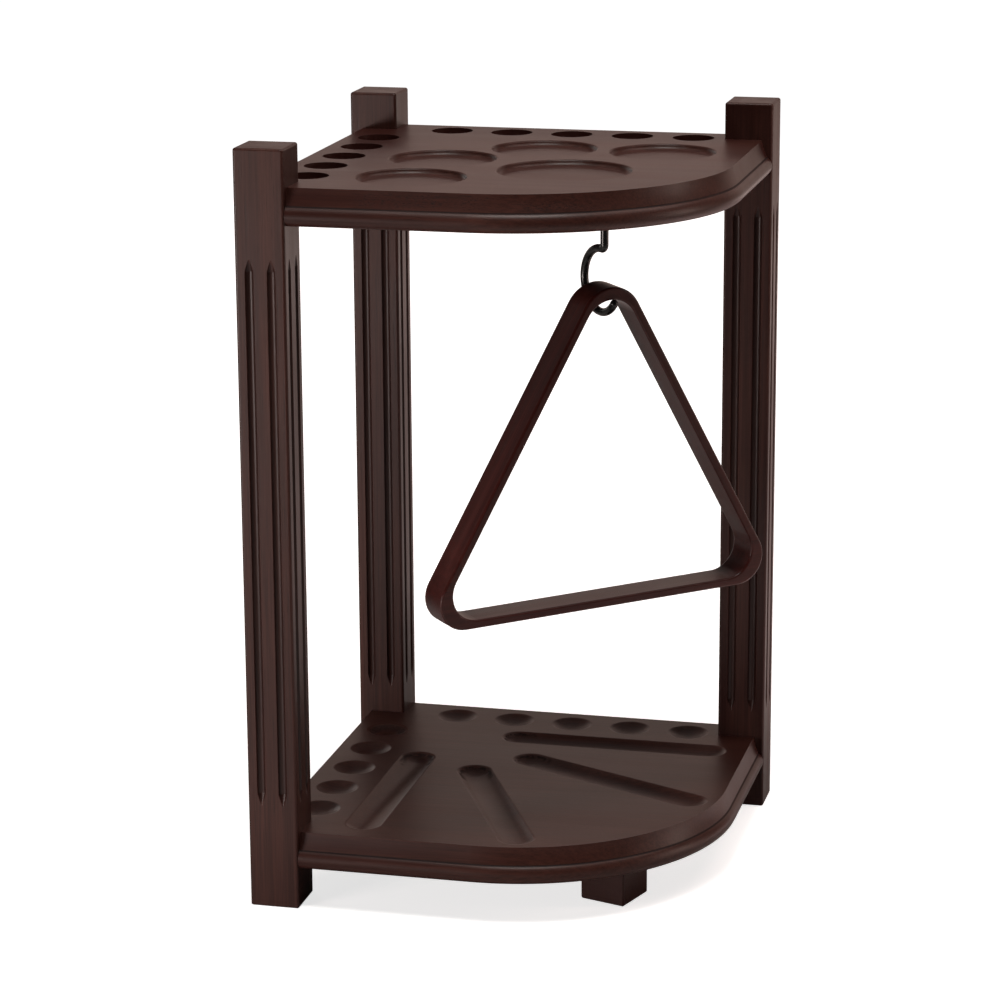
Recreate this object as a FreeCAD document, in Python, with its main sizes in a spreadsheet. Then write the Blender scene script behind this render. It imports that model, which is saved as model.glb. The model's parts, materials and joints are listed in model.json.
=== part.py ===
"""Corner floor rack for ten billiard cues, with a ball triangle on a hook.

Two quarter-round boards are let in around three fluted posts. The top board guides the cue
shafts through ten bores and the bottom board carries the butts in ten dimples. A short foot
stands under the free corner. Millimetres, +Z up. The origin is the middle of the underside of
the rear corner post, which stands in the corner of the room: -X is the left side, +Y the back.
The plan is drawn from the middle of the square that the posts mark out, and place() shifts it.
"""
import FreeCAD, Part
import math
import os

import Sketcher

Vector = FreeCAD.Vector
Rotation = FreeCAD.Rotation
Placement = FreeCAD.Placement

DRIVING_SIZES = {
    # Posts and boards
    "footprint": 394.0,
    "rack_height": 665.0,
    "post_side": 43.7,
    "post_arris": 2.2,
    "post_base_chamfer": 1.0,
    "board_thickness": 31.8,
    "top_board_level": 632.0,
    "bottom_board_level": 67.6,
    "plain_edge_inset": 11.7,
    # Cove and bead along the front and right edges of both boards
    "moulding_width": 9.6,
    "cove_width": 4.8,
    "cove_height": 15.4,
    "cove_radius": 60.0,
    "bead_radius": 9.25,
    "bead_foot_inset": 5.6,
    # Flutes on the four faces of each post
    "flute_offset": 9.6,
    "flute_radius": 4.0,
    "flute_axis_gap": 1.0,
    "flute_run_out": 10.5,
    "flute_bottom": 93.0,
    "flute_top": 572.0,
    # Cue bores and butt dimples
    "cue_bore": 37.8,
    "cue_row": 155.1,
    "cue_first": 100.3,
    "cue_pitch": 56.2,
    "dimple_width": 37.4,
    "dimple_depth": 5.5,
    "hollow_rim": 3.0,
    # Round trays in the top board
    "tray_width": 93.6,
    "tray_depth": 5.0,
    "tray_rim": 1.6,
    "tray_row": 66.9,
    "tray_near": 6.8,
    "tray_far": 113.4,
    "corner_tray_width": 115.4,
    "corner_tray_centre": 51.4,
    # Ball grooves in the bottom board
    "groove_length": 212.3,
    "groove_width": 32.0,
    "groove_depth": 6.0,
    "groove_row": 105.7,
    "groove_middle": 62.8,
    "slant_groove_far": 78.9,
    "slant_groove_near": 6.2,
    "slant_groove_turn": 25.5,
    # Knock-down joints between the posts and the boards
    "bolt_offset": 13.15,
    "dowel_offset": 2.85,
    "bolt_diameter": 6.0,
    "bolt_head_diameter": 12.0,
    "bolt_head_height": 4.0,
    "bolt_head_recess": 8.0,
    "bolt_tip_overrun": 8.0,
    "hex_key": 4.0,
    "screw_tip_taper": 1.0,
    "nut_diameter": 10.0,
    "nut_length": 16.0,
    "nut_setback": 20.0,
    "nut_slot_width": 1.6,
    "nut_slot_depth": 1.5,
    "dowel_diameter": 8.0,
    "dowel_length": 24.0,
    "dowel_chamfer": 1.0,
    "fastener_play": 0.1,
    # Foot under the free corner
    "foot_side": 43.0,
    "foot_right": 107.4,
    "foot_forward": 103.2,
    "foot_turn": 18.0,
    "foot_chamfer": 1.2,
    "foot_screw_diameter": 5.0,
    "foot_screw_head": 10.0,
    "foot_screw_head_height": 3.2,
    "foot_screw_recess": 14.0,
    "foot_screw_length": 44.0,
    # Hook and triangle
    "hang_turn": 43.2,
    "hook_centre": 91.9,
    "hook_lowest": 519.1,
    "hook_wire": 7.0,
    "hook_radius": 27.1,
    "hook_bend": 4.0,
    "hook_shank_forward": 5.5,
    "hook_tip_angle": 52.0,
    "hook_thread": 5.6,
    "hook_thread_length": 20.0,
    "triangle_side": 360.0,
    "triangle_thickness": 7.5,
    "triangle_depth": 29.5,
    "triangle_forward": 4.2,
    "triangle_lean": 2.1,
    "triangle_crown_gap": 0.3,
    "triangle_top_outer": 30.0,
    "triangle_top_inner": 26.0,
    "triangle_base_outer": 25.0,
    "triangle_base_inner": 24.0,
    "triangle_arris": 1.8,
}

CUE_COUNT = 5
# How deep a hexagon socket goes, as a share of the head's height
SOCKET_SHARE = 0.7
# How far a cutting sketch runs past the wood that it cuts
CUT_OVERRUN = 2.0
# Turns a body that stands on its own +Z so that it lies along +X
LAID_ALONG_X = Rotation(Vector(0, 1, 0), 90.0)


class Size:
    """A number in millimetres or degrees, carried with the sheet formula that gives it."""

    def __init__(self, number, formula):
        self.number = float(number)
        self.formula = formula

    def joined(self, other, sign, number):
        return Size(number, f"({self.formula} {sign} {as_size(other).formula})")

    def __add__(self, other):
        return self.joined(other, "+", self.number + as_size(other).number)

    def __sub__(self, other):
        return self.joined(other, "-", self.number - as_size(other).number)

    def __mul__(self, other):
        return self.joined(other, "*", self.number * as_size(other).number)

    def __truediv__(self, other):
        return self.joined(other, "/", self.number / as_size(other).number)

    def __neg__(self):
        return Size(-self.number, f"(0 - {self.formula})")


def as_size(value):
    """Give a plain number a formula, and leave a Size as it is."""
    return value if isinstance(value, Size) else Size(value, repr(float(value)))


def root(value):
    return Size(math.sqrt(value.number), f"sqrt({value.formula})")


def sine(angle):
    return Size(math.sin(math.radians(angle.number)), f"sin({angle.formula} * 1 deg)")


def cosine(angle):
    return Size(math.cos(math.radians(angle.number)), f"cos({angle.formula} * 1 deg)")


doc = FreeCAD.newDocument("cue_rack")


def fill_sheet():
    """Write each driving size to its own row and return the sizes by alias."""
    sheet = doc.addObject("Spreadsheet::Sheet", "sizes")
    sizes = {}
    for row, (alias, number) in enumerate(DRIVING_SIZES.items(), start=1):
        sheet.set(f"A{row}", alias)
        sheet.set(f"B{row}", str(number))
        sheet.setAlias(f"B{row}", alias)
        sizes[alias] = Size(number, f"sizes.{alias}")
    doc.recompute()
    return sizes


size = fill_sheet()

# Lines of the plan, measured from the middle of the footprint
half = size["footprint"] / 2
notch = half - size["post_side"]
plain_edge = half - size["plain_edge_inset"]
post_axis = half - size["post_side"] / 2
thickness = size["board_thickness"]
top_board_base = size["top_board_level"] - thickness
bottom_board_base = size["bottom_board_level"] - thickness
joint_bolt = post_axis - size["bolt_offset"]
joint_dowel = post_axis + size["dowel_offset"]


def bind(target, path, value):
    """Drive a property or constraint by the formula of a Size."""
    target.setExpression(path, as_size(value).formula)


def from_corner_post(x, y, z):
    """Turn a point of the plan, drawn from the footprint's middle, into the part's own frame."""
    return as_size(x) + post_axis, as_size(y) - post_axis, as_size(z)


def place(target, x, y, z, turn=Rotation()):
    """Put a body at a point of the plan, turned by a rotation about its own origin."""
    point = from_corner_post(x, y, z)
    target.Placement = Placement(Vector(*[value.number for value in point]), turn)
    for axis, value in zip("xyz", point):
        bind(target, f"Placement.Base.{axis}", value)


def about_vertical(angle):
    return Rotation(Vector(0, 0, 1), as_size(angle).number)


def new_body(name):
    body = doc.addObject("PartDesign::Body", name)
    body.Label = name
    return body


def origin_feature(body, role):
    return next(feature for feature in body.Origin.OriginFeatures if feature.Role == role)


def new_sketch(body, name, role, offset=(0, 0, 0), turn=0.0):
    """Attach a sketch to an origin plane, shifted in the plane's own axes and turned in it."""
    sketch = body.newObject("Sketcher::SketchObject", name)
    sketch.AttachmentSupport = [(origin_feature(body, role), "")]
    sketch.MapMode = "FlatFace"
    shift = [as_size(value) for value in offset]
    angle = as_size(turn)
    sketch.AttachmentOffset = Placement(
        Vector(*[value.number for value in shift]), Rotation(Vector(0, 0, 1), angle.number))
    for axis, value in zip("xyz", shift):
        bind(sketch, f"AttachmentOffset.Base.{axis}", value)
    bind(sketch, "AttachmentOffset.Rotation.Angle", angle)
    return sketch


def pin_point(sketch, curve, end, x, y):
    """Fix one point of a curve at distances from the sketch's origin."""
    for kind, value in (("DistanceX", as_size(x)), ("DistanceY", as_size(y))):
        index = sketch.addConstraint(Sketcher.Constraint(kind, -1, 1, curve, end, value.number))
        bind(sketch, f"Constraints[{index}]", value)


def add_circle(sketch, x, y, radius):
    centre = Vector(as_size(x).number, as_size(y).number, 0)
    curve = sketch.addGeometry(Part.Circle(centre, Vector(0, 0, 1), radius.number))
    index = sketch.addConstraint(Sketcher.Constraint("Radius", curve, radius.number))
    bind(sketch, f"Constraints[{index}]", radius)
    pin_point(sketch, curve, 3, x, y)


def arc_between(start, end, radius, bulge):
    """Make the short arc from start to end; bulge 1 turns left along the way, -1 right."""
    chord = end - start
    middle = (start + end) * 0.5
    left = Vector(-chord.y, chord.x, 0).normalize()
    reach = math.sqrt(max(radius ** 2 - (chord.Length / 2) ** 2, 0.0))
    centre = middle + left * reach * bulge
    apex = centre - left * radius * bulge
    return Part.Arc(start, apex, end)


def add_outline(sketch, points, closed=True):
    """Draw a chain of lines and arcs, with every corner pinned.

    A point is (x, y), or (x, y, radius, bulge) when an arc leads from it to the next point.
    """
    corners = [Vector(as_size(point[0]).number, as_size(point[1]).number, 0) for point in points]
    count = len(points) if closed else len(points) - 1
    curves = []
    for number in range(count):
        start = corners[number]
        end = corners[(number + 1) % len(points)]
        if len(points[number]) == 4:
            radius, bulge = points[number][2:]
            arc = arc_between(start, end, as_size(radius).number, bulge)
            curve = sketch.addGeometry(arc)
            index = sketch.addConstraint(Sketcher.Constraint("Radius", curve, as_size(radius).number))
            bind(sketch, f"Constraints[{index}]", radius)
            # An arc always runs anticlockwise, so one that turns right starts at its far end.
            ends = (1, 2) if bulge > 0 else (2, 1)
        else:
            curve = sketch.addGeometry(Part.LineSegment(start, end))
            ends = (1, 2)
        curves.append((curve, ends))
    for number, (curve, ends) in enumerate(curves):
        pin_point(sketch, curve, ends[0], *points[number][:2])
        if number + 1 < len(curves) or closed:
            following, following_ends = curves[(number + 1) % len(curves)]
            sketch.addConstraint(
                Sketcher.Constraint("Coincident", curve, ends[1], following, following_ends[0]))
        else:
            pin_point(sketch, curve, ends[1], *points[-1][:2])


def volume_of(body):
    doc.recompute()
    return body.Shape.Volume


def expect_change(body, before, grows, name):
    """Stop when a feature has added or removed nothing."""
    change = volume_of(body) - before
    if (change > 0) != grows or abs(change) < 1.0:
        raise RuntimeError(f"{body.Label}: {name} changed the volume by {change:.2f}")


def add_pad(body, sketch, name, length, centred=False):
    pad = body.newObject("PartDesign::Pad", name)
    pad.Profile = sketch
    pad.Length = length.number
    bind(pad, "Length", length)
    if centred:
        pad.SideType = "Symmetric"
    doc.recompute()
    return pad


def add_pocket(body, sketch, name, depth, reverse=False):
    """Cut a sketch into the body by a depth, along the sketch's normal when reversed."""
    before = volume_of(body)
    pocket = body.newObject("PartDesign::Pocket", name)
    pocket.Profile = sketch
    pocket.Type = 0
    pocket.Length = depth.number
    bind(pocket, "Length", depth)
    pocket.Reversed = reverse
    expect_change(body, before, False, name)
    return pocket


def add_turned(body, sketch, name, cuts):
    """Turn a half section once about the sketch's vertical axis, to add or to cut."""
    before = volume_of(body) if cuts else 0.0
    turned = body.newObject("PartDesign::Groove" if cuts else "PartDesign::Revolution", name)
    turned.Profile = sketch
    turned.ReferenceAxis = (sketch, ["V_Axis"])
    turned.Angle = 360.0
    expect_change(body, before, not cuts, name)
    return turned


def add_dressing(body, kind, name, edges, amount):
    """Round (PartDesign::Fillet) or bevel (PartDesign::Chamfer) edges of the current tip."""
    doc.recompute()
    base = body.Tip
    dressing = body.newObject(kind, name)
    dressing.Base = (base, edges)
    path = "Radius" if kind.endswith("Fillet") else "Size"
    setattr(dressing, path, amount.number)
    bind(dressing, path, amount)
    doc.recompute()
    return dressing


def edges_where(body, test):
    """Names of the body's edges whose bounding boxes pass a test."""
    doc.recompute()
    shape = body.Tip.Shape
    return [f"Edge{number}" for number, edge in enumerate(shape.Edges, start=1)
            if test(edge.BoundBox)]


def cut_capsule(body, name, role, offset, turn, length, radius):
    """Cut a round-ended channel: a cylinder with ball ends, its axis up the sketch."""
    sketch = new_sketch(body, f"{name}_section", role, offset, turn)
    reach = length / 2
    add_outline(sketch, [
        (0, -(reach + radius), radius, 1),
        (radius, -reach),
        (radius, reach, radius, 1),
        (0, reach + radius),
    ])
    return add_turned(body, sketch, name, cuts=True)


def cut_flute(body, name, offset, reach):
    """Cut a flute: a round channel whose ends run out to a point on the face, reach either way."""
    radius = size["flute_radius"]
    gap = size["flute_axis_gap"]
    full = reach - size["flute_run_out"]
    # The tapers close on the channel's axis, which lies in front of the face
    closing = reach + size["flute_run_out"] * gap / (radius - gap)
    sketch = new_sketch(body, f"{name}_section", "XZ_Plane", offset)
    add_outline(sketch, [(0, -closing), (radius, -full), (radius, full), (0, closing)])
    return add_turned(body, sketch, name, cuts=True)


def cut_bowl(body, name, x, y, half_section):
    """Cut a round hollow into the top of a board from its half section, at a point in plan."""
    sketch = new_sketch(body, f"{name}_section", "XZ_Plane", (x, thickness, -y))
    add_outline(sketch, half_section)
    return add_turned(body, sketch, name, cuts=True)


def round_rims(body, name, radius, narrowest):
    """Ease the edges of the hollows in a board's top face, apart from the narrow ones."""
    level = thickness.number - 0.01
    side = (plain_edge - 1).number
    front = (half - size["moulding_width"] - 1).number
    width = narrowest.number - 0.1
    rims = edges_where(body, lambda box: (
        box.ZMin > level and box.XMin > -side and box.YMax < side
        and box.XMax < front and box.YMin > -front and box.DiagonalLength > width))
    add_dressing(body, "PartDesign::Fillet", name, rims, radius)


def cue_places():
    """Centres of the ten cues: five along the left side, five mirrored along the back."""
    for number in range(CUE_COUNT):
        along = size["cue_first"] - size["cue_pitch"] * number
        yield -size["cue_row"], along
        yield -along, size["cue_row"]


def mirrored(x, y):
    """The rack is symmetric about the diagonal from its corner post to its foot."""
    return -y, -x


def board_blank(name, base):
    """A board with three notches for the posts and a quarter-round front corner."""
    body = new_body(name)
    outline = new_sketch(body, f"{name}_outline", "XY_Plane")
    add_outline(outline, [
        (-notch, -half),
        (0, -half, half, 1),
        (half, 0),
        (half, notch),
        (notch, notch),
        (notch, plain_edge),
        (-notch, plain_edge),
        (-notch, notch),
        (-plain_edge, notch),
        (-plain_edge, -notch),
        (-notch, -notch),
    ])
    add_pad(body, outline, f"{name}_blank", thickness)
    cut_moulding(body, name)
    place(body, 0, 0, base)
    return body


def cut_moulding(body, name):
    """Work the cove and bead along the front edge, round the corner and up the right edge."""
    overrun = CUT_OVERRUN
    path = new_sketch(body, f"{name}_moulding_path", "XY_Plane")
    add_outline(path, [
        (-(notch + overrun), -half),
        (0, -half, half, 1),
        (half, 0),
        (half, notch + overrun),
    ], closed=False)
    flat_end = -(half - size["moulding_width"])
    bead_top = flat_end - size["cove_width"]
    bead_foot = -(half - size["bead_foot_inset"])
    bead_level = thickness - size["cove_height"]
    outside = -(half + overrun)
    section = new_sketch(body, f"{name}_moulding_section", "YZ_Plane", (0, 0, -(notch + overrun)))
    add_outline(section, [
        (flat_end, thickness + overrun),
        (flat_end, thickness, size["cove_radius"], -1),
        (bead_top, bead_level, size["bead_radius"], 1),
        (bead_foot, 0),
        (bead_foot, -overrun),
        (outside, -overrun),
        (outside, thickness + overrun),
    ])
    before = volume_of(body)
    pipe = body.newObject("PartDesign::SubtractivePipe", f"{name}_moulding")
    pipe.Profile = section
    pipe.Spine = (path, ["Edge1", "Edge2", "Edge3"])
    expect_change(body, before, False, "moulding")


def bore_board_joints(body, name):
    """Bore a board for the bolts, barrel nuts and dowels of its three post joints."""
    play = size["fastener_play"]
    middle = thickness / 2
    bolt_radius = size["bolt_diameter"] / 2 + play
    dowel_radius = size["dowel_diameter"] / 2 + play
    nut_radius = size["nut_diameter"] / 2 + play
    bolt_depth = size["nut_setback"] + size["bolt_tip_overrun"] + play
    dowel_depth = size["dowel_length"] / 2 + play
    nut_depth = middle + size["nut_length"] / 2
    for kind, place_along, radius, depth in (
            ("bolt", joint_bolt, bolt_radius, bolt_depth),
            ("dowel", joint_dowel, dowel_radius, dowel_depth)):
        left = new_sketch(body, f"{name}_{kind}_left", "YZ_Plane", (0, 0, -notch))
        add_circle(left, -place_along, middle, radius)
        add_circle(left, place_along, middle, radius)
        add_pocket(body, left, f"{name}_{kind}_left_bores", depth, reverse=True)
        back = new_sketch(body, f"{name}_{kind}_back", "XZ_Plane", (0, 0, -notch))
        add_circle(back, place_along, middle, radius)
        add_pocket(body, back, f"{name}_{kind}_back_bore", depth, reverse=True)
    nuts = new_sketch(body, f"{name}_nuts", "XY_Plane")
    nut_line = notch - size["nut_setback"]
    add_circle(nuts, -nut_line, -joint_bolt, nut_radius)
    add_circle(nuts, -nut_line, joint_bolt, nut_radius)
    add_circle(nuts, joint_bolt, nut_line, nut_radius)
    add_pocket(body, nuts, f"{name}_nut_bores", nut_depth, reverse=True)


def make_top_board():
    """The cue guide, with ten through bores and five round trays for balls and chalk."""
    name = "top_board"
    body = board_blank(name, top_board_base)
    bores = new_sketch(body, "cue_bores", "XY_Plane")
    for x, y in cue_places():
        add_circle(bores, x, y, size["cue_bore"] / 2)
    add_pocket(body, bores, "cue_bore_cut", thickness, reverse=True)
    near = (-size["tray_row"], -size["tray_near"])
    far = (-size["tray_row"], -size["tray_far"])
    corner = (size["corner_tray_centre"], -size["corner_tray_centre"])
    trays = {
        "tray_left_near": (near, size["tray_width"]),
        "tray_left_far": (far, size["tray_width"]),
        "tray_back_near": (mirrored(*near), size["tray_width"]),
        "tray_back_far": (mirrored(*far), size["tray_width"]),
        "tray_corner": (corner, size["corner_tray_width"]),
    }
    for tray, (centre, width) in trays.items():
        radius = width / 2
        depth = size["tray_depth"]
        cut_bowl(body, tray, *centre, [
            (0, 1),
            (0, -depth),
            (radius - depth, -depth, depth, 1),
            (radius, 0),
            (radius, 1),
        ])
    round_rims(body, "tray_rims", size["tray_rim"], size["tray_width"])
    bore_board_joints(body, name)
    hook_pilot = new_sketch(body, "hook_pilot", "XY_Plane")
    add_circle(hook_pilot, *hook_shank_place(), size["hook_thread"] / 2 + size["fastener_play"])
    add_pocket(body, hook_pilot, "hook_pilot_bore", size["hook_thread_length"], reverse=True)
    return body


def make_bottom_board():
    """The butt shelf, with ten dimples and four round-ended grooves that each hold four balls."""
    name = "bottom_board"
    body = board_blank(name, bottom_board_base)
    dimple_radius = size["dimple_width"] / 2
    dimple_depth = size["dimple_depth"]
    dish = (dimple_radius * dimple_radius / dimple_depth + dimple_depth) / 2
    for number, (x, y) in enumerate(cue_places(), start=1):
        cut_bowl(body, f"dimple_{number}", x, y, [
            (0, 1),
            (0, -dimple_depth, dish, 1),
            (dimple_radius, 0),
            (dimple_radius, 1),
        ])
    half_width = size["groove_width"] / 2
    depth = size["groove_depth"]
    nose = (half_width * half_width / depth + depth) / 2
    axis_level = thickness + nose - depth
    reach = size["groove_length"] - size["groove_width"]
    straight = (size["groove_middle"], size["groove_row"])
    slanted = (size["slant_groove_far"], size["slant_groove_near"])
    slant = size["slant_groove_turn"]
    grooves = {
        "groove_back": (straight, as_size(90.0)),
        "groove_left": (mirrored(*straight), as_size(0.0)),
        "groove_back_slanted": (slanted, as_size(90.0) - slant),
        "groove_left_slanted": (mirrored(*slanted), slant),
    }
    for groove, ((x, y), turn) in grooves.items():
        cut_capsule(body, groove, "XY_Plane", (x, y, axis_level), turn, reach, nose)
    round_rims(body, "hollow_rims", size["hollow_rim"], size["groove_width"])
    bore_board_joints(body, name)
    pilot = new_sketch(body, "foot_pilot", "XY_Plane")
    add_circle(pilot, size["foot_right"], -size["foot_forward"], screw_bore_radius())
    foot_wood = bottom_board_base - size["foot_screw_recess"]
    pilot_depth = size["foot_screw_length"] - foot_wood + size["fastener_play"]
    add_pocket(body, pilot, "foot_pilot_bore", pilot_depth, reverse=True)
    return body


def screw_bore_radius():
    return size["foot_screw_diameter"] / 2 + size["fastener_play"]


def make_post(name, x, y, turn, hand):
    """A fluted square post. Its bolts run along its own +X; hand says which side they lie."""
    body = new_body(name)
    side = size["post_side"]
    face = side / 2
    outline = new_sketch(body, f"{name}_outline", "XY_Plane")
    add_outline(outline, [(-face, -face), (face, -face), (face, face), (-face, face)])
    add_pad(body, outline, f"{name}_blank", size["rack_height"])
    top = size["rack_height"].number
    not_base = edges_where(body, lambda box: box.ZMax > top - 1.0)
    add_dressing(body, "PartDesign::Fillet", f"{name}_arrises", not_base, size["post_arris"])
    base = edges_where(body, lambda box: box.ZMax < 1.0)
    add_dressing(body, "PartDesign::Chamfer", f"{name}_base", base, size["post_base_chamfer"])
    flute_middle = (size["flute_top"] + size["flute_bottom"]) / 2
    flute_reach = (size["flute_top"] - size["flute_bottom"]) / 2
    flutes = []
    for number, across in enumerate((-size["flute_offset"], size["flute_offset"]), start=1):
        axis = (across, flute_middle, face + size["flute_axis_gap"])
        flutes.append(cut_flute(body, f"{name}_flute_{number}", axis, flute_reach))
    before = volume_of(body)
    pattern = body.newObject("PartDesign::PolarPattern", f"{name}_flutes")
    pattern.Originals = flutes
    pattern.Axis = (origin_feature(body, "Z_Axis"), [""])
    pattern.Angle = 360.0
    pattern.Occurrences = 4
    body.Tip = pattern
    expect_change(body, before, False, "flutes")
    bore_post_joints(body, name, hand)
    place(body, x, y, 0, about_vertical(turn))
    return body


def bore_post_joints(body, name, hand):
    """Bore a post for its two bolts, with their head recesses, and its two dowels."""
    play = size["fastener_play"]
    face = size["post_side"] / 2
    bolt_across = size["bolt_offset"] * hand
    dowel_across = size["dowel_offset"] * -hand
    bores = (
        ("head", -face, bolt_across, size["bolt_head_diameter"] / 2 + play, size["bolt_head_recess"]),
        ("bolt", -face, bolt_across, size["bolt_diameter"] / 2 + play, size["post_side"]),
        ("dowel", face - size["dowel_length"] / 2 - play, dowel_across,
         size["dowel_diameter"] / 2 + play, size["dowel_length"] / 2 + play),
    )
    for kind, start, across, radius, depth in bores:
        sketch = new_sketch(body, f"{name}_{kind}_circles", "YZ_Plane", (0, 0, start))
        for base in (bottom_board_base, top_board_base):
            add_circle(sketch, across, base + thickness / 2, radius)
        add_pocket(body, sketch, f"{name}_{kind}_bores", depth, reverse=True)


def make_foot():
    """A short square foot, held by one screw and so free to sit slightly turned."""
    body = new_body("front_foot")
    face = size["foot_side"] / 2
    outline = new_sketch(body, "foot_outline", "XY_Plane")
    add_outline(outline, [(-face, -face), (face, -face), (face, face), (-face, face)])
    add_pad(body, outline, "foot_blank", bottom_board_base)
    height = bottom_board_base.number
    outer = edges_where(body, lambda box: box.ZMin < height - 1.0)
    add_dressing(body, "PartDesign::Chamfer", "foot_edges", outer, size["foot_chamfer"])
    recess = new_sketch(body, "foot_recess", "XY_Plane")
    add_circle(recess, 0, 0, size["foot_screw_head"] / 2 + size["fastener_play"])
    add_pocket(body, recess, "foot_recess_bore", size["foot_screw_recess"], reverse=True)
    bore = new_sketch(body, "foot_bore", "XY_Plane")
    add_circle(bore, 0, 0, screw_bore_radius())
    add_pocket(body, bore, "foot_screw_bore", bottom_board_base, reverse=True)
    place(body, size["foot_right"], -size["foot_forward"], 0, about_vertical(-size["foot_turn"]))
    return body


def make_headed_fastener(name, head, head_height, shank, length):
    """A flat-headed screw standing on its head, with a tapered tip and a hexagon socket."""
    body = new_body(name)
    taper = size["screw_tip_taper"]
    section = new_sketch(body, f"{name}_section", "XZ_Plane")
    add_outline(section, [
        (0, 0),
        (head / 2, 0),
        (head / 2, head_height),
        (shank / 2, head_height),
        (shank / 2, head_height + length - taper),
        (shank / 2 - taper, head_height + length),
        (0, head_height + length),
    ])
    add_turned(body, section, f"{name}_turned", cuts=False)
    socket = new_sketch(body, f"{name}_socket", "XY_Plane")
    corner = size["hex_key"] / math.sqrt(3.0)
    add_outline(socket, [
        (corner * math.cos(math.radians(60 * number)), corner * math.sin(math.radians(60 * number)))
        for number in range(6)])
    add_pocket(body, socket, f"{name}_socket_cut", head_height * SOCKET_SHARE, reverse=True)
    return body


def make_foot_screw():
    body = make_headed_fastener(
        "front_foot_screw", size["foot_screw_head"], size["foot_screw_head_height"],
        size["foot_screw_diameter"], size["foot_screw_length"])
    level = size["foot_screw_recess"] - size["foot_screw_head_height"]
    place(body, size["foot_right"], -size["foot_forward"], level)
    return body


def make_bolt(name):
    """A hexagon-socket bolt standing on its head."""
    grip = size["post_side"] - size["bolt_head_recess"]
    reach = grip + size["nut_setback"] + size["bolt_tip_overrun"]
    return make_headed_fastener(
        name, size["bolt_head_diameter"], size["bolt_head_height"], size["bolt_diameter"], reach)


def make_barrel_nut(name):
    """An upright barrel nut, cross-bored for the bolt, with a driver slot underneath."""
    body = new_body(name)
    length = size["nut_length"]
    radius = size["nut_diameter"] / 2
    outline = new_sketch(body, f"{name}_outline", "XY_Plane")
    add_circle(outline, 0, 0, radius)
    add_pad(body, outline, f"{name}_barrel", length)
    cross = new_sketch(body, f"{name}_cross", "YZ_Plane", (0, 0, -radius))
    add_circle(cross, 0, length / 2, size["bolt_diameter"] / 2 + size["fastener_play"])
    add_pocket(body, cross, f"{name}_cross_bore", radius * 2, reverse=True)
    slot = new_sketch(body, f"{name}_slot", "XY_Plane")
    slot_half = size["nut_slot_width"] / 2
    corners = [(-radius, -slot_half), (radius, -slot_half), (radius, slot_half), (-radius, slot_half)]
    add_outline(slot, corners)
    add_pocket(body, slot, f"{name}_slot_cut", size["nut_slot_depth"], reverse=True)
    return body


def make_dowel(name):
    """A beech dowel with chamfered ends, lying along its own X."""
    body = new_body(name)
    outline = new_sketch(body, f"{name}_outline", "YZ_Plane")
    add_circle(outline, 0, 0, size["dowel_diameter"] / 2)
    add_pad(body, outline, f"{name}_rod", size["dowel_length"], centred=True)
    ends = edges_where(body, lambda box: box.XLength < 0.01)
    add_dressing(body, "PartDesign::Chamfer", f"{name}_ends", ends, size["dowel_chamfer"])
    return body


def make_joint_fasteners():
    """A bolt, a barrel nut and a dowel for each post at each board."""
    bodies = []
    head_face = half - size["bolt_head_recess"] + size["bolt_head_height"]
    nut_line = notch - size["nut_setback"]
    joints = {
        "front_left": ((-head_face, -joint_bolt), (-nut_line, -joint_bolt), (-notch, -joint_dowel), 0.0),
        "rear_corner": ((-head_face, joint_bolt), (-nut_line, joint_bolt), (-notch, joint_dowel), 0.0),
        "rear_right": ((joint_bolt, head_face), (joint_bolt, nut_line), (joint_dowel, notch), -90.0),
    }
    for post, (head_at, nut_at, dowel_at, turn) in joints.items():
        for board, base in (("top", top_board_base), ("bottom", bottom_board_base)):
            middle = base + thickness / 2
            bolt = make_bolt(f"{post}_{board}_bolt")
            place(bolt, *head_at, middle, about_vertical(turn) * LAID_ALONG_X)
            nut = make_barrel_nut(f"{post}_{board}_barrel_nut")
            place(nut, *nut_at, middle - size["nut_length"] / 2, about_vertical(turn))
            dowel = make_dowel(f"{post}_{board}_dowel")
            place(dowel, *dowel_at, middle, about_vertical(turn))
            bodies += [bolt, nut, dowel]
    return bodies


def forward_of_hook(distance):
    """A point in plan, a distance ahead of the hook's middle in the direction that it faces."""
    centre = size["hook_centre"]
    turn = size["hang_turn"]
    return centre + sine(turn) * distance, -(centre + cosine(turn) * distance)


def hook_shank_place():
    return forward_of_hook(size["hook_shank_forward"])


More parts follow.
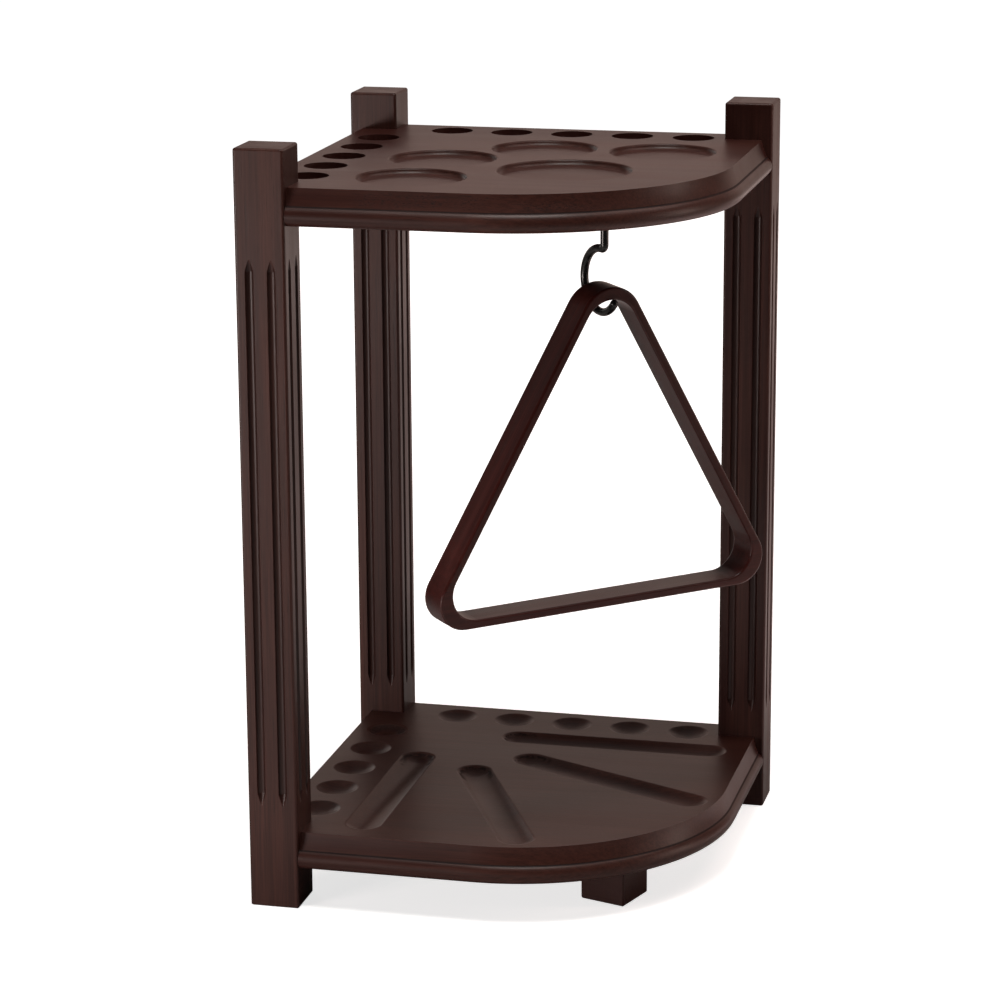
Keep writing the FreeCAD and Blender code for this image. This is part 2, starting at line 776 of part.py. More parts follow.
def make_hook():
    """A round-wire hook: threaded shank, tight bend, belly behind and tip in front."""
    body = new_body("triangle_hook")
    radius = size["hook_radius"]
    bend = size["hook_bend"]
    shank = -size["hook_shank_forward"]
    centre_level = size["hook_lowest"] + radius
    shank_top = top_board_base - centre_level
    tip_angle = size["hook_tip_angle"]
    tip = (-(radius * sine(tip_angle)), -(radius * cosine(tip_angle)))
    path = new_sketch(body, "hook_path", "YZ_Plane")
    add_outline(path, [
        (shank, shank_top),
        (shank, radius + bend, bend, 1),
        (shank + bend, radius),
        (0, radius, radius, -1),
        (radius, 0, radius, -1),
        (0, -radius, radius, -1),
        tip,
    ], closed=False)
    wire_radius = size["hook_wire"] / 2
    section = new_sketch(body, "hook_section", "XY_Plane", (0, shank, shank_top))
    add_circle(section, 0, 0, wire_radius)
    doc.recompute()
    pipe = body.newObject("PartDesign::AdditivePipe", "hook_wire")
    pipe.Profile = section
    pipe.Spine = (path, [f"Edge{number}" for number in range(1, 7)])
    expect_change(body, 0.0, True, "hook wire")
    before = volume_of(body)
    ball = body.newObject("PartDesign::AdditiveSphere", "hook_tip")
    ball.Radius = wire_radius.number
    bind(ball, "Radius", wire_radius)
    ball.AttachmentSupport = [(origin_feature(body, "XY_Plane"), "")]
    ball.MapMode = "FlatFace"
    ball.AttachmentOffset = Placement(Vector(0, tip[0].number, tip[1].number), Rotation())
    bind(ball, "AttachmentOffset.Base.y", tip[0])
    bind(ball, "AttachmentOffset.Base.z", tip[1])
    expect_change(body, before, True, "hook tip")
    thread = new_sketch(body, "hook_thread_circle", "XY_Plane", (0, shank, shank_top))
    add_circle(thread, 0, 0, size["hook_thread"] / 2)
    add_pad(body, thread, "hook_thread", size["hook_thread_length"] - size["fastener_play"])
    place(body, size["hook_centre"], -size["hook_centre"], centre_level, about_vertical(size["hang_turn"]))
    return body


def triangle_loop(side, top, base, peak):
    """Outline of an equilateral triangle with round corners, whose sharp top is at peak."""
    cos_half = math.sqrt(3.0) / 2
    floor = peak - side * cos_half
    top_run = top * cos_half
    base_run = base * cos_half
    return [
        (-top_run, peak - top * 1.5),
        (-(side / 2 - base_run), floor + base * 1.5, base, 1),
        (-(side / 2 - base * (2 * cos_half)), floor),
        (side / 2 - base * (2 * cos_half), floor, base, 1),
        (side / 2 - base_run, floor + base * 1.5),
        (top_run, peak - top * 1.5, top, 1),
    ]


def make_triangle():
    """The bentwood ball triangle, its own origin at the inside of the corner over the hook."""
    body = new_body("ball_triangle")
    wall = size["triangle_thickness"]
    side = size["triangle_side"]
    inner_side = side - wall * (2 * math.sqrt(3.0))
    inner_peak = size["triangle_top_inner"]
    outer_peak = inner_peak + wall * 2
    outline = new_sketch(body, "triangle_outline", "XZ_Plane")
    add_outline(outline, triangle_loop(
        side, size["triangle_top_outer"], size["triangle_base_outer"], outer_peak))
    add_outline(outline, triangle_loop(
        inner_side, size["triangle_top_inner"], size["triangle_base_inner"], inner_peak))
    add_pad(body, outline, "triangle_frame", size["triangle_depth"], centred=True)
    faces = edges_where(body, lambda box: box.YLength < 0.01)
    add_dressing(body, "PartDesign::Fillet", "triangle_arrises", faces, size["triangle_arris"])
    x, y = forward_of_hook(size["triangle_forward"])
    lean = Rotation(Vector(1, 0, 0), size["triangle_lean"].number)
    place(body, x, y, triangle_crown_level(), about_vertical(size["hang_turn"]) * lean)
    return body


def hook_reach():
    """How far ahead of the hook's middle the triangle's front face stands."""
    return size["triangle_forward"] + size["triangle_depth"] / 2


def swing_axis_level():
    """Level of the hook wire's centre line where the triangle's front face crosses it."""
    radius = size["hook_radius"]
    reach = hook_reach()
    return size["hook_lowest"] + radius - root(radius * radius - reach * reach)


def triangle_crown_level():
    """Level of the inside of the triangle's top corner, just clear of the sloping wire."""
    radius = size["hook_radius"]
    reach = hook_reach()
    drop = root(radius * radius - reach * reach)
    wire_above_axis = size["hook_wire"] / 2 * radius / drop
    front_edge_dip = size["triangle_depth"] / 2 * sine(size["triangle_lean"])
    return swing_axis_level() + wire_above_axis + size["triangle_crown_gap"] + front_edge_dip


def check_and_export(bodies):
    """Refuse a failed object or an invalid shape, then write one STEP file for each body."""
    doc.recompute()
    for item in doc.Objects:
        if "Invalid" in item.State or "Error" in item.State:
            raise RuntimeError(f"{item.Label} is {item.State}")
    os.makedirs("parts", exist_ok=True)
    for body in bodies:
        shape = body.Shape
        if shape.isNull() or not shape.isValid() or len(shape.Solids) != 1:
            raise RuntimeError(f"{body.Label} is not one valid solid")
        shape.exportStep(f"parts/{body.Label}.step")
        print(f"{body.Label}: {shape.Volume / 1000:.2f} cm3")
    axis_point = from_corner_post(*forward_of_hook(size["triangle_forward"]), swing_axis_level())
    print("swing axis through", [round(value.number, 3) for value in axis_point])


bodies = [
    make_top_board(),
    make_bottom_board(),
    make_post("front_left_post", -post_axis, -post_axis, 0.0, 1),
    make_post("rear_corner_post", -post_axis, post_axis, 0.0, -1),
    make_post("rear_right_post", post_axis, post_axis, -90.0, -1),
    make_foot(),
    make_foot_screw(),
    make_hook(),
    make_triangle(),
]
bodies += make_joint_fasteners()
check_and_export(bodies)
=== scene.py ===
"""Looks for the corner cue rack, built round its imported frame."""
import json
import math

import bpy
from mathutils import Matrix, Vector


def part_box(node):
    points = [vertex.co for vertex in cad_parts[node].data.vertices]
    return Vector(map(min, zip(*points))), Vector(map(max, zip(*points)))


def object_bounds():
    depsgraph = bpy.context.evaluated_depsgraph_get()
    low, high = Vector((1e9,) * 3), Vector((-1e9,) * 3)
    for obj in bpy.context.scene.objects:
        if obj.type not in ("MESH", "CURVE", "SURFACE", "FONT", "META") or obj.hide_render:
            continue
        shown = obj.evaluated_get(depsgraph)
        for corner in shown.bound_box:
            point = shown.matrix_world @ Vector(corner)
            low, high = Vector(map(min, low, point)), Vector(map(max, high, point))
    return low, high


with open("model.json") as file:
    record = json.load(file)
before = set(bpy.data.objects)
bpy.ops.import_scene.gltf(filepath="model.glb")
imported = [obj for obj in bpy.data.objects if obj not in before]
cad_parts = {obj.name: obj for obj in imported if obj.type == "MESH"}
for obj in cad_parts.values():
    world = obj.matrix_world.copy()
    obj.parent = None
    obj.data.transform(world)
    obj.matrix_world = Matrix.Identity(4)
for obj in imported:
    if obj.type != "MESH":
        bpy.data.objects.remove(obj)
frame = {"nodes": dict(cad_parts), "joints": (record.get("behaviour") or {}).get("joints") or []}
cad_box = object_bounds()
nodes = frame["nodes"]



def middle_of(node):
    """The middle of a CAD node's box at rest."""
    lowest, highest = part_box(node)
    return (lowest + highest) / 2


# ---------------------------------------------------------------- shader helpers


class Graph:
    """A material's node tree, with short calls for the nodes that the finishes share."""

    def __init__(self, name):
        self.material = bpy.data.materials.new(name)
        self.material.use_nodes = True
        self.tree = self.material.node_tree
        self.tree.nodes.clear()
        self.shader = self.add("ShaderNodeBsdfPrincipled")
        output = self.add("ShaderNodeOutputMaterial")
        self.link(self.shader.outputs["BSDF"], output.inputs["Surface"])

    def add(self, kind, **settings):
        node = self.tree.nodes.new(kind)
        for key, value in settings.items():
            setattr(node, key, value)
        return node

    def link(self, source, target):
        self.tree.links.new(source, target)

    def feed(self, socket, value):
        """Set a socket to a plain value, or link it to an output."""
        if isinstance(value, bpy.types.NodeSocket):
            self.link(value, socket)
        else:
            socket.default_value = value

    def set(self, **sockets):
        """Feed the shader's sockets, each named with underscores for its spaces."""
        for name, value in sockets.items():
            self.feed(self.shader.inputs[name.replace("_", " ")], value)

    def math(self, operation, first, second=0.0):
        node = self.add("ShaderNodeMath", operation=operation)
        self.feed(node.inputs[0], first)
        self.feed(node.inputs[1], second)
        return node.outputs[0]

    def times(self, first, *others):
        """The product of all the values."""
        product = first
        for other in others:
            product = self.math("MULTIPLY", product, other)
        return product

    def inverse(self, value):
        """1 where value is 0, and 0 where value is 1."""
        return self.math("SUBTRACT", 1.0, value)

    def step(self, value, start, end):
        """0 before start and 1 after end, with a smooth rise between them."""
        node = self.add("ShaderNodeMapRange", interpolation_type="SMOOTHSTEP")
        self.link(value, node.inputs["Value"])
        node.inputs["From Min"].default_value = start
        node.inputs["From Max"].default_value = end
        return node.outputs["Result"]

    def window(self, value, start, full, fading, end):
        """1 from full to fading, and 0 before start and after end, with smooth sides."""
        return self.times(self.step(value, start, full), self.inverse(self.step(value, fading, end)))

    def position(self):
        return self.add("ShaderNodeTexCoord").outputs["Object"]

    def along_axis(self, vector, axis):
        """How far a point lies along an axis."""
        node = self.add("ShaderNodeVectorMath", operation="DOT_PRODUCT")
        self.link(vector, node.inputs[0])
        node.inputs[1].default_value = axis
        return node.outputs["Value"]

    def length(self, vector):
        node = self.add("ShaderNodeVectorMath", operation="LENGTH")
        self.link(vector, node.inputs[0])
        return node.outputs["Value"]

    def combined(self, x, y, z):
        node = self.add("ShaderNodeCombineXYZ")
        for socket, value in zip(node.inputs, (x, y, z)):
            self.feed(socket, value)
        return node.outputs[0]

    def mapped(self, vector, scale=(1, 1, 1), turn=(0, 0, 0), shift=(0, 0, 0)):
        """A point scaled, turned by degrees about each axis, and shifted."""
        node = self.add("ShaderNodeMapping")
        self.link(vector, node.inputs["Vector"])
        node.inputs["Location"].default_value = shift
        node.inputs["Rotation"].default_value = [math.radians(angle) for angle in turn]
        node.inputs["Scale"].default_value = scale
        return node.outputs[0]

    def noise(self, vector, scale, detail=3.0, rough=0.5, distortion=0.0):
        node = self.add("ShaderNodeTexNoise")
        self.link(vector, node.inputs["Vector"])
        node.inputs["Scale"].default_value = scale
        node.inputs["Detail"].default_value = detail
        node.inputs["Roughness"].default_value = rough
        node.inputs["Distortion"].default_value = distortion
        return node.outputs["Fac"]

    def ramp(self, value, stops, smooth=False):
        """A colour ramp. Each stop is (position, grey) or (position, (r, g, b))."""
        node = self.add("ShaderNodeValToRGB")
        self.link(value, node.inputs[0])
        ramp = node.color_ramp
        if smooth:
            ramp.interpolation = "EASE"
        while len(ramp.elements) < len(stops):
            ramp.elements.new(0.5)
        for element, (place, tone) in zip(ramp.elements, stops):
            element.position = place
            element.color = (*tone, 1) if isinstance(tone, tuple) else (tone, tone, tone, 1)
        return node.outputs[0]

    def mix(self, amount, first, second, blend="MIX"):
        node = self.add("ShaderNodeMix", data_type="RGBA", blend_type=blend)
        self.feed(node.inputs["Factor"], amount)
        for socket, value in ((node.inputs["A"], first), (node.inputs["B"], second)):
            self.feed(socket, (*value, 1.0) if isinstance(value, tuple) else value)
        return node.outputs["Result"]

    def bump(self, height, strength, distance, normal=None):
        node = self.add("ShaderNodeBump")
        self.link(height, node.inputs["Height"])
        node.inputs["Strength"].default_value = strength
        node.inputs["Distance"].default_value = distance
        if normal is not None:
            self.link(normal, node.inputs["Normal"])
        return node.outputs[0]


# ---------------------------------------------------------------- torn grain, plunge stain and painted shade in the stained wood

# The boards' outline is a quarter circle round the rack's middle, with straight edges going on from it.
# The cove's radii are measured from that point, and its height is measured down from the flat top.
ROUND_CENTRE = (middle_of("front_left_post") + middle_of("rear_right_post")) / 2
COVE_INNER = 0.1874
COVE_OUTER = 0.1922
COVE_HEIGHT = 0.0154
# How far the torn grain takes to fade at each end of its stretch, and how dark it gets
TORN_FADE = 0.03
TORN_STRENGTH = 0.75
# The painted shade line in the crease where the cove meets the bead, in height from the crease: it starts,
# is full, fades and ends
CREASE_SHADE_LINE = (-0.0009, -0.0003, 0.0003, 0.0010)
CREASE_SHADE_STRENGTH = 0.9

# Where the cutter plunged into the bottom board, in plan: the grooves' inner ends, and one rough dimple
PLUNGES = ((0.1478, -0.0695), (0.0695, -0.1478), (0.1727, -0.1301), (0.1301, -0.1727))
ROUGH_DIMPLE = (0.0200, -0.0749)
# A ring of gathered stain is full between these distances from the plunge
RING_FULL = (0.0115, 0.0170)
RIM_STRENGTH = 0.6

# The flutes run between these levels, and each face's pair lies within this distance of its middle
FLUTE_BOTTOM = 0.093
FLUTE_TOP = 0.572
FLUTE_REACH = 0.0145
SOFT_EDGE = 0.001

UP = (0, 0, 1)


def edge_masks(graph):
    """White along convex edges, and white in concave corners, from how the surface curves; the concave mask
    paints shade.
    """
    curving = graph.add("ShaderNodeNewGeometry").outputs["Pointiness"]
    return graph.step(curving, 0.52, 0.62), graph.inverse(graph.step(curving, 0.40, 0.485))


def outline_distance(graph, position):
    """How far out a board's point is: the same all the way along its moulded edge."""
    from_centre = graph.mapped(position, (1, -1, 0), shift=(-ROUND_CENTRE.x, ROUND_CENTRE.y, 0))
    node = graph.add("ShaderNodeVectorMath", operation="MAXIMUM")
    graph.link(from_centre, node.inputs[0])
    return graph.length(node.outputs[0])


def torn_grain(graph, place, out, height, flat_level, stretch):
    """Fine dark flecks, in patches, on a stretch of the cove between two places along X."""
    position = graph.position()
    crease = flat_level - COVE_HEIGHT
    start, end = stretch
    on_cove = graph.step(out, COVE_INNER - 0.0004, COVE_INNER)
    band = graph.window(height, crease + 0.0005, crease + 0.0035, flat_level - 0.0030, flat_level)
    along = graph.window(graph.along_axis(position, (1, 0, 0)), start, start + TORN_FADE,
                         end - TORN_FADE, end)
    flecks = graph.noise(graph.mapped(position, (0.22, 0.5, 1)), 1500.0, 2.0, 0.55)
    patches = graph.noise(graph.mapped(place, (0.5, 1, 2)), 40.0, 2.0)
    return graph.times(on_cove, band, along, graph.step(flecks, 0.50, 0.66),
                       graph.step(patches, 0.40, 0.54), TORN_STRENGTH)


def crease_shade_and_torn_grain(graph, place, flat_level, torn_stretch):
    """Painted shade: a dark line in the crease where the cove meets the bead; and the torn grain on the
    cove, if any.
    """
    position = graph.position()
    height = graph.along_axis(position, UP)
    out = outline_distance(graph, position)
    crease = flat_level - COVE_HEIGHT
    # Painted shade: a dark line along the crease, only on the moulded edge
    line = graph.times(graph.window(height, *(crease + offset for offset in CREASE_SHADE_LINE)),
                       graph.step(out, COVE_OUTER - 0.0016, COVE_OUTER - 0.0008), CREASE_SHADE_STRENGTH)
    if torn_stretch is None:
        return line
    return graph.math("MAXIMUM", line, torn_grain(graph, place, out, height, flat_level, torn_stretch))


def stain_ring(graph, position, middle, inner, outer):
    """A ring round a plan point, from inner to outer, at its darkest between the RING_FULL distances."""
    x, y = middle
    away = graph.length(graph.mapped(position, (1, 1, 0), shift=(-x, -y, 0)))
    full_from, full_to = RING_FULL
    return graph.window(away, inner, full_from, full_to, outer)


def pooled_stain(graph, place, flat_level, plunges):
    """Stain that gathered where the cutter plunged: on the grooves' end walls, and round one dimple."""
    position = graph.position()
    height = graph.along_axis(position, UP)
    below = graph.inverse(graph.step(height, flat_level - 0.0016, flat_level - 0.0004))
    ends = 0.0
    for middle in plunges:
        ends = graph.math("MAXIMUM", stain_ring(graph, position, middle, 0.005, 0.0205), ends)
    facing = graph.along_axis(graph.add("ShaderNodeNewGeometry").outputs["Normal"], UP)
    wall = graph.inverse(graph.step(facing, 0.80, 0.95))
    mottle = graph.step(graph.noise(place, 190.0, 4.0, 0.65), 0.38, 0.54)
    soft_mottle = graph.step(graph.noise(place, 300.0, 3.0, 0.6), 0.20, 0.60)
    rim = graph.times(stain_ring(graph, position, ROUGH_DIMPLE, 0.0085, 0.0190), soft_mottle, RIM_STRENGTH)
    return graph.times(graph.math("MAXIMUM", graph.times(ends, wall, mottle), rim), below)


def flute_shade(graph, node):
    """Painted shade in a post's flutes: the mask that darkens them."""
    lowest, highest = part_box(node)
    half = (highest.x - lowest.x) / 2
    position = graph.position()
    centred = graph.mapped(position, shift=-middle_of(node))
    across = [graph.math("ABSOLUTE", graph.along_axis(centred, axis)) for axis in ((1, 0, 0), (0, 1, 0))]
    depth = graph.math("SUBTRACT", half, graph.math("MAXIMUM", *across))
    inside = graph.inverse(graph.step(graph.math("MINIMUM", *across), FLUTE_REACH, FLUTE_REACH + SOFT_EDGE))
    along = graph.window(graph.along_axis(position, UP), FLUTE_BOTTOM - SOFT_EDGE, FLUTE_BOTTOM,
                         FLUTE_TOP, FLUTE_TOP + SOFT_EDGE)
    return graph.times(graph.step(depth, 0.0002, 0.0014), inside, along)


# ---------------------------------------------------------------- finishes

# Stains, each from its darkest bands to its lightest
ESPRESSO = ((0.026, 0.0078, 0.0056), (0.039, 0.0128, 0.0092), (0.056, 0.0200, 0.0145))
MAHOGANY = ((0.022, 0.0042, 0.0034), (0.035, 0.0070, 0.0055), (0.052, 0.0118, 0.0092))
# A darker tone along convex edges; and the tone for painted shade in corners, flutes and the crease, also
# used for the stain gathered where the cutter plunged
EDGE_TONE = (0.020, 0.0040, 0.0028)
STAIN_AND_SHADE_TONE = (0.005, 0.0012, 0.0010)
# How much space is squeezed along the grain: for the wide bands, and for the fibres and pores
BAND_SQUEEZE = 0.055
FIBRE_SQUEEZE = 0.018
# How strongly each kind of mark takes its dark tone: the convex edges with the painted corner shade, the
# painted flute shade, and the painted crease shade with the torn grain and plunge stain; and how much those
# last ones roughen the lacquer
CORNER_AMOUNT = 0.8
FLUTE_SHADE_AMOUNT = 0.45
MARK_AND_SHADE_AMOUNT = 0.95
MARK_ROUGHENS = 0.4


def squeezed(graph, place, along, amount):
    """Space squeezed along the grain, which makes long fibres out of plain noise."""
    scale = [1, 1, 1]
    scale["xyz".index(along)] = amount
    return graph.mapped(place, scale)


def stained_wood(name, along, shift, tones=ESPRESSO, roughness=0.42, turn=(0, 0, 0), space=None,
                 flat_level=None, torn_stretch=None, plunges=(), figure=1.0, fluted=None):
    """Satin stain over fine straight grain. The grain runs along one axis of the part, or of its own space.

    figure is how strongly the wood's bands and clouds show. fluted is the post whose flutes get painted
    shade. flat_level is the top of a board, whose moulding gets a painted shade line in its crease, and
    torn grain if torn_stretch is given.
    """
    graph = Graph(name)
    dark, mid, light = tones
    place = graph.mapped(space(graph) if space else graph.position(), turn=turn, shift=shift)
    bands = graph.noise(squeezed(graph, place, along, BAND_SQUEEZE), 38.0, 4.0, 0.55, 0.6)
    fibres = graph.noise(squeezed(graph, place, along, FIBRE_SQUEEZE), 520.0, 3.0, 0.6)
    pores = graph.noise(squeezed(graph, place, along, FIBRE_SQUEEZE), 1500.0, 2.0)
    cloud = graph.noise(place, 7.0, 2.0)

    tone = graph.ramp(bands, [(0.32, dark), (0.52, mid), (0.74, light)], smooth=True)
    tone = graph.mix(figure, mid, tone)
    streaks = graph.ramp(fibres, [(0.36, 0.62), (0.62, 1.22)])
    tone = graph.mix(0.65, tone, streaks, "MULTIPLY")
    blotches = graph.ramp(cloud, [(0.3, 0.86), (0.7, 1.12)])
    tone = graph.mix(0.8 * figure, tone, blotches, "MULTIPLY")
    open_pores = graph.ramp(pores, [(0.30, 0.35), (0.42, 1.0)])
    tone = graph.mix(0.6, tone, open_pores, "MULTIPLY")
    # Convex edges take a darker tone, and painted shade darkens concave corners
    convex, concave = edge_masks(graph)
    tone = graph.mix(graph.times(convex, CORNER_AMOUNT), tone, EDGE_TONE)
    tone = graph.mix(graph.times(concave, CORNER_AMOUNT), tone, STAIN_AND_SHADE_TONE)

    rough_bands = graph.ramp(bands, [(0.3, roughness - 0.05 * figure), (0.7, roughness + 0.06 * figure)])
    rough_clouds = graph.ramp(cloud, [(0.35, 1 - 0.06 * figure), (0.7, 1 + 0.08 * figure)])
    rough = graph.times(rough_bands, rough_clouds)
    grain_height = graph.math("ADD", graph.times(fibres, 0.5), open_pores)

    # Painted shade darkens the post's flutes
    if fluted:
        tone = graph.mix(graph.times(flute_shade(graph, fluted), FLUTE_SHADE_AMOUNT), tone, STAIN_AND_SHADE_TONE)
    # Painted shade along the moulding's crease, with the torn grain on its cove
    if flat_level is not None:
        shade_and_torn_grain = crease_shade_and_torn_grain(graph, place, flat_level, torn_stretch)
        tone = graph.mix(graph.times(shade_and_torn_grain, MARK_AND_SHADE_AMOUNT), tone, STAIN_AND_SHADE_TONE)
        rough = graph.math("ADD", rough, graph.times(shade_and_torn_grain, MARK_ROUGHENS))
        grain_height = graph.math("SUBTRACT", grain_height, graph.times(shade_and_torn_grain, 1.5))
    if plunges:
        pooled = pooled_stain(graph, place, flat_level, plunges)
        tone = graph.mix(graph.times(pooled, MARK_AND_SHADE_AMOUNT), tone, STAIN_AND_SHADE_TONE)
        rough = graph.math("ADD", rough, graph.times(pooled, MARK_ROUGHENS))

    grain = graph.bump(grain_height, 0.16, 0.00025)
    normal = graph.bump(cloud, 0.10 * figure, 0.004, grain)
    graph.set(Base_Color=tone, Roughness=rough, Normal=normal,
              Specular_IOR_Level=0.20, Coat_Weight=0.05, Coat_Roughness=0.25)
    return graph.material


def painted_wire():
    """Glossy black paint with a slight orange peel, duller in places."""
    graph = Graph("black_wire_paint")
    place = graph.position()
    peel = graph.noise(place, 900.0, 2.0)
    dust = graph.noise(place, 160.0, 4.0, 0.6)
    tone = graph.ramp(dust, [(0.35, (0.003, 0.003, 0.0033)), (0.7, (0.009, 0.0085, 0.0085))])
    rough = graph.ramp(dust, [(0.3, 0.22), (0.75, 0.34)])
    graph.set(Base_Color=tone, Roughness=rough, Normal=graph.bump(peel, 0.12, 0.0002),
              Specular_IOR_Level=0.22, Coat_Weight=0.12, Coat_Roughness=0.08)
    return graph.material


def zinc_plate():
    """Bright zinc with a dull bloom and a fine grit."""
    graph = Graph("zinc_plate")
    place = graph.position()
    bloom = graph.noise(place, 240.0, 4.0, 0.6)
    grit = graph.noise(place, 2600.0, 2.0)
    tone = graph.ramp(bloom, [(0.3, (0.42, 0.42, 0.41)), (0.7, (0.66, 0.65, 0.62))])
    rough = graph.ramp(bloom, [(0.3, 0.24), (0.7, 0.42)])
    graph.set(Base_Color=tone, Roughness=rough, Normal=graph.bump(grit, 0.15, 0.0001), Metallic=1.0)
    return graph.material


def bare_beech():
    """Pale turned beech, with its short flecks."""
    graph = Graph("bare_beech")
    fleck = graph.noise(graph.mapped(graph.position(), (0.2, 1, 1)), 900.0, 3.0, 0.6)
    tone = graph.ramp(fleck, [(0.3, (0.48, 0.31, 0.17)), (0.7, (0.66, 0.47, 0.29))])
    rough = graph.ramp(fleck, [(0.3, 0.52), (0.7, 0.66)])
    graph.set(Base_Color=tone, Roughness=rough, Normal=graph.bump(fleck, 0.2, 0.0002))
    return graph.material


# ---------------------------------------------------------------- dressing the frame

TRIANGLE_LEAN = math.radians(2.1)
# How far from the triangle's corners its strip's depth is blended from one wall to the next
CORNER_BLEND = 0.03

# Each post's own piece of timber: where its grain is taken from
POST_SHIFTS = {
    "front_left_post": (0.31, 0.12, 0.0),
    "rear_corner_post": (0.77, 0.43, 0.2),
    "rear_right_post": (1.29, 0.88, 0.5),
}
# Each board's grain: its shift, its turn in degrees, its torn stretch along X, and its plunges
BOARD_GRAIN = {
    "top_board": ((0.1, 0.2, 0.3), 1.5, (0.07, 0.29), ()),
    "bottom_board": ((2.1, 1.2, 0.7), -1.2, None, PLUNGES),
}
BOARD_FIGURE = 0.35
TRIANGLE_ROUGHNESS = 0.33


def dress(node, material):
    """Give a CAD node its finish."""
    target = nodes[node]
    target.data.materials.clear()
    target.data.materials.append(material)


def strip_space(graph):
    """Coordinates of the bent strip: along it, through its thickness, and across its width."""
    hinge = frame["joints"][0]
    level_across = Vector(hinge["axis"]).normalized()
    sideways = Vector(UP).cross(level_across)
    lean = Matrix.Rotation(TRIANGLE_LEAN, 3, sideways)
    across = lean @ level_across
    upright = lean @ Vector(UP)
    place = graph.mapped(graph.position(), shift=-middle_of("ball_triangle"))
    slant = math.cos(math.radians(30)) * sideways
    outward = (-upright, 0.5 * upright - slant, 0.5 * upright + slant)
    base, left, right = (graph.along_axis(place, axis) for axis in outward)
    # The three walls meet in rounded corners, so the strip's own depth takes the greatest smoothly
    depth = base
    for wall in (left, right):
        node = graph.add("ShaderNodeMath", operation="SMOOTH_MAX")
        graph.link(depth, node.inputs[0])
        graph.link(wall, node.inputs[1])
        node.inputs[2].default_value = CORNER_BLEND
        depth = node.outputs[0]
    return graph.combined(graph.along_axis(place, sideways), depth, graph.along_axis(place, across))


def dress_nodes():
    """Give every CAD node its finish."""
    for node, shift in POST_SHIFTS.items():
        dress(node, stained_wood(f"{node}_wood", "z", shift, fluted=node))
    for node, (shift, turn, torn_stretch, plunges) in BOARD_GRAIN.items():
        flat_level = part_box(node)[1].z
        dress(node, stained_wood(f"{node}_wood", "x", shift, turn=(0, 0, turn), flat_level=flat_level,
                                 torn_stretch=torn_stretch, plunges=plunges, figure=BOARD_FIGURE))
    dress("front_foot", stained_wood("front_foot_wood", "x", (0.6, 3.1, 0.4)))
    dress("ball_triangle", stained_wood("ball_triangle_wood", "x", (0.2, 0.9, 1.6), MAHOGANY,
                                        TRIANGLE_ROUGHNESS, space=strip_space))
    dress("triangle_hook", painted_wire())
    zinc = zinc_plate()
    beech = bare_beech()
    for node in nodes:
        if node.endswith(("_bolt", "_barrel_nut", "_screw")):
            dress(node, zinc)
        elif node.endswith("_dowel"):
            dress(node, beech)


# ---------------------------------------------------------------- stage, light and camera

FLOOR_RADIUS = 30.0
FLOOR_SIDES = 96
# The floor glows softly to the camera, a little more further out, so that its contact shadow stays faint
FLOOR_GLOW = 0.72
FLOOR_GLOW_RISE = 0.3
ROOM_LEVEL = 0.01

# The softboxes' colours, from nearly white to a warm rose
DAYLIGHT = (1.0, 0.97, 0.93)
PALE_WARM = (1.0, 0.86, 0.82)
WARM = (1.0, 0.78, 0.72)
AMBER = (1.0, 0.75, 0.65)
ROSE = (1.0, 0.68, 0.64)
# Each row: name, place and aim from the object's middle, width and height, watts, colour
SOFTBOXES = (
    ("key_low", (-1.27, -1.54, -0.12), (0, 0, -0.12), (0.7, 0.35), 22, PALE_WARM),
    ("side", (1.94, -0.04, 0.0), (0, 0, 0), (0.6, 1.6), 3, PALE_WARM),
    ("side_strip", (2.24, 0.41, -0.05), (0, 0, 0), (0.35, 2.0), 19, AMBER),
    ("top_right", (1.14, 0.46, 1.9), (0, 0, 0), (1.0, 1.0), 12, WARM),
    ("top_back", (-0.37, 1.76, 2.0), (0, 0, 0), (1.6, 1.4), 3, PALE_WARM),
    ("back_left", (-1.97, 1.76, 0.3), (0, 0, 0), (1.0, 1.2), 6, DAYLIGHT),
    ("backdrop", (-0.17, 3.36, 0.5), (0, 0, 0), (5.0, 1.6), 17, AMBER),
    ("back_high", (-0.17, 3.36, 1.3), (0, 0, 0.3), (5.0, 0.5), 5, WARM),
    ("over_front", (0.1, -0.5, 2.0), (0, 0, 0.3), (1.0, 0.6), 30, DAYLIGHT),
    ("over_left", (-1.2, 0.2, 1.8), (0, 0, 0), (1.0, 1.0), 3, WARM),
    ("floor_back", (0.3, 1.5, -0.325), (0.3, 1.5, 1.0), (2.4, 1.6), 5.5, ROSE),
    ("floor_far", (0.7, 2.7, -0.325), (0.7, 2.7, 1.0), (2.4, 0.9), 13, WARM),
    ("floor_right", (0.55, 0.25, -0.325), (0.55, 0.25, 1.0), (0.5, 0.9), 1.5, ROSE),
    ("floor_front", (0.05, -0.52, -0.325), (0.05, -0.52, 1.0), (1.2, 0.4), 0.75, DAYLIGHT),
)

# Where the camera stands, and its angles in degrees
CAMERA_PLACE = (0.846, -2.993, 1.077)
CAMERA_AZIMUTH = 13.761
CAMERA_PITCH = 14.525
CAMERA_ROLL = -0.317
SENSOR_WIDTH = 36.0
LENS_PER_SENSOR = 3.359
CAMERA_SEES_TO = 100.0


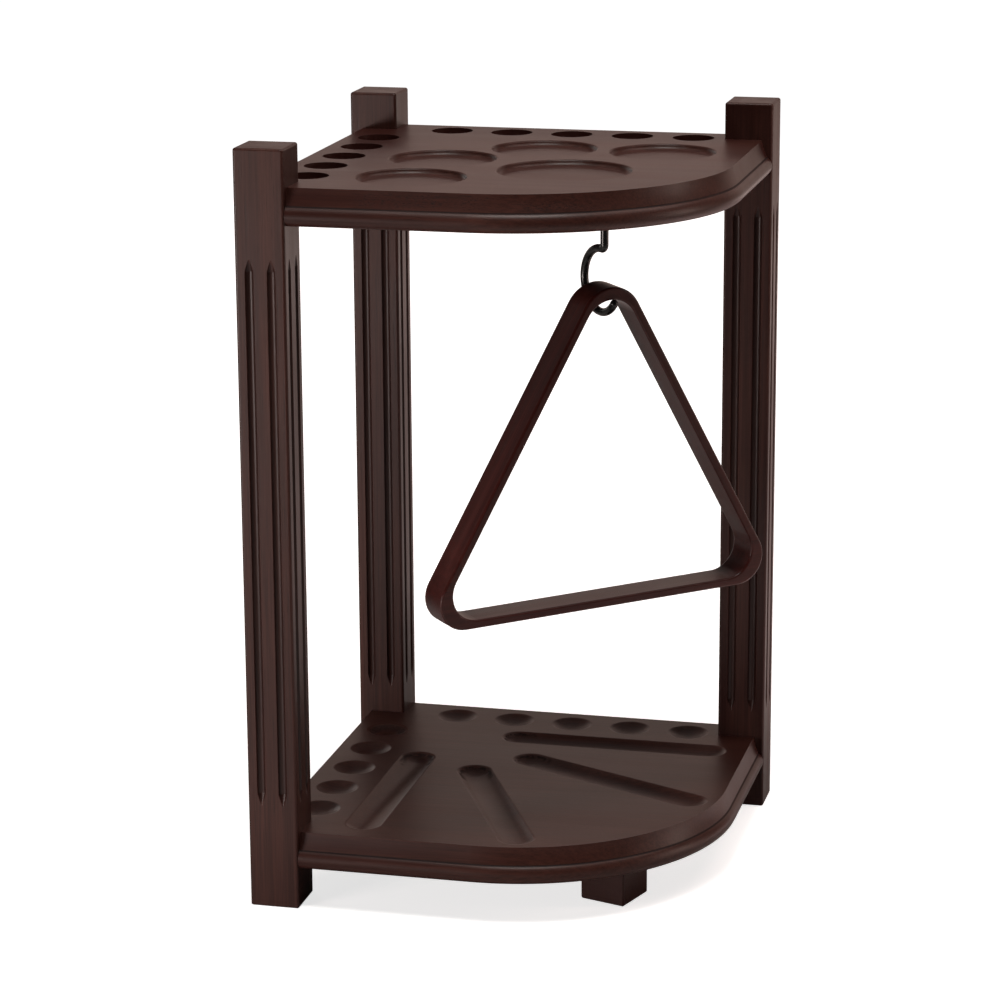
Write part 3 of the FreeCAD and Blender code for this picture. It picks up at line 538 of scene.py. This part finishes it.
def make_floor():
    """A plain pale floor, brighter to the camera than to the object that stands on it."""
    graph = Graph("studio_floor")
    mottle = graph.noise(graph.position(), 1.3, 2.0)
    seen = graph.add("ShaderNodeLightPath").outputs["Is Camera Ray"]
    further_out = graph.step(graph.length(graph.position()), 0.5, 1.8)
    glow = graph.math("ADD", FLOOR_GLOW, graph.times(further_out, FLOOR_GLOW_RISE))
    paper = graph.ramp(mottle, [(0.3, 0.86), (0.7, 0.9)])
    graph.set(Base_Color=graph.mix(seen, (0.55, 0.55, 0.55), paper),
              Emission_Color=(1.0, 1.0, 1.0, 1.0), Emission_Strength=graph.times(seen, glow),
              Roughness=0.9, Specular_IOR_Level=0.1)
    mesh = bpy.data.meshes.new("studio_floor")
    angles = [2 * math.pi * side / FLOOR_SIDES for side in range(FLOOR_SIDES)]
    rim = [(FLOOR_RADIUS * math.cos(angle), FLOOR_RADIUS * math.sin(angle), 0) for angle in angles]
    mesh.from_pydata(rim, [], [list(range(FLOOR_SIDES))])
    mesh.materials.append(graph.material)
    floor = bpy.data.objects.new("studio_floor", mesh)
    bpy.context.scene.collection.objects.link(floor)


def make_world():
    """White to the camera; a dim room to the object, so that the softboxes shape it."""
    world = bpy.data.worlds.new("studio")
    bpy.context.scene.world = world
    world.use_nodes = True
    tree = world.node_tree
    background = tree.nodes["Background"]
    seen = tree.nodes.new("ShaderNodeLightPath").outputs["Is Camera Ray"]
    level = tree.nodes.new("ShaderNodeMapRange")
    tree.links.new(seen, level.inputs["Value"])
    level.inputs["To Min"].default_value = ROOM_LEVEL
    level.inputs["To Max"].default_value = 1.0
    background.inputs["Color"].default_value = (1, 1, 1, 1)
    tree.links.new(level.outputs["Result"], background.inputs["Strength"])


def soft_light(name, place, aim, size, power, tint):
    """A rectangular softbox at one point, aimed at another, and unseen by the camera."""
    data = bpy.data.lights.new(name, "AREA")
    data.shape = "RECTANGLE"
    data.size, data.size_y = size
    data.energy = power
    data.color = tint
    light = bpy.data.objects.new(name, data)
    bpy.context.scene.collection.objects.link(light)
    light.location = place
    light.visible_camera = False
    light.rotation_euler = (aim - place).to_track_quat("-Z", "Y").to_euler()


def light_object():
    """Stand the softboxes round the middle of the object."""
    low, high = cad_box
    middle = (low + high) / 2
    for name, offset, aim, size, power, tint in SOFTBOXES:
        soft_light(name, middle + Vector(offset), middle + Vector(aim), size, power, tint)


def stand_camera():
    """Make the scene's camera. Azimuth 0 looks along +Y, and pitch is how far the view tips down."""
    data = bpy.data.cameras.new("camera")
    camera = bpy.data.objects.new("camera", data)
    bpy.context.scene.collection.objects.link(camera)
    bpy.context.scene.camera = camera
    data.sensor_width = SENSOR_WIDTH
    data.lens = SENSOR_WIDTH * LENS_PER_SENSOR
    data.clip_end = CAMERA_SEES_TO
    azimuth, pitch, roll = (math.radians(angle) for angle in (CAMERA_AZIMUTH, CAMERA_PITCH, CAMERA_ROLL))
    level = math.cos(pitch)
    back = Vector((math.sin(azimuth) * level, -math.cos(azimuth) * level, math.sin(pitch)))
    right = Vector((math.cos(azimuth), math.sin(azimuth), 0))
    up = back.cross(right)
    across = right * math.cos(roll) + up * math.sin(roll)
    upward = up * math.cos(roll) - right * math.sin(roll)
    turn = Matrix((across, upward, back)).transposed().to_4x4()
    camera.matrix_world = Matrix.Translation(CAMERA_PLACE) @ turn


dress_nodes()
make_floor()
make_world()
light_object()
stand_camera()
bpy.context.scene.view_settings.view_transform = "Standard"
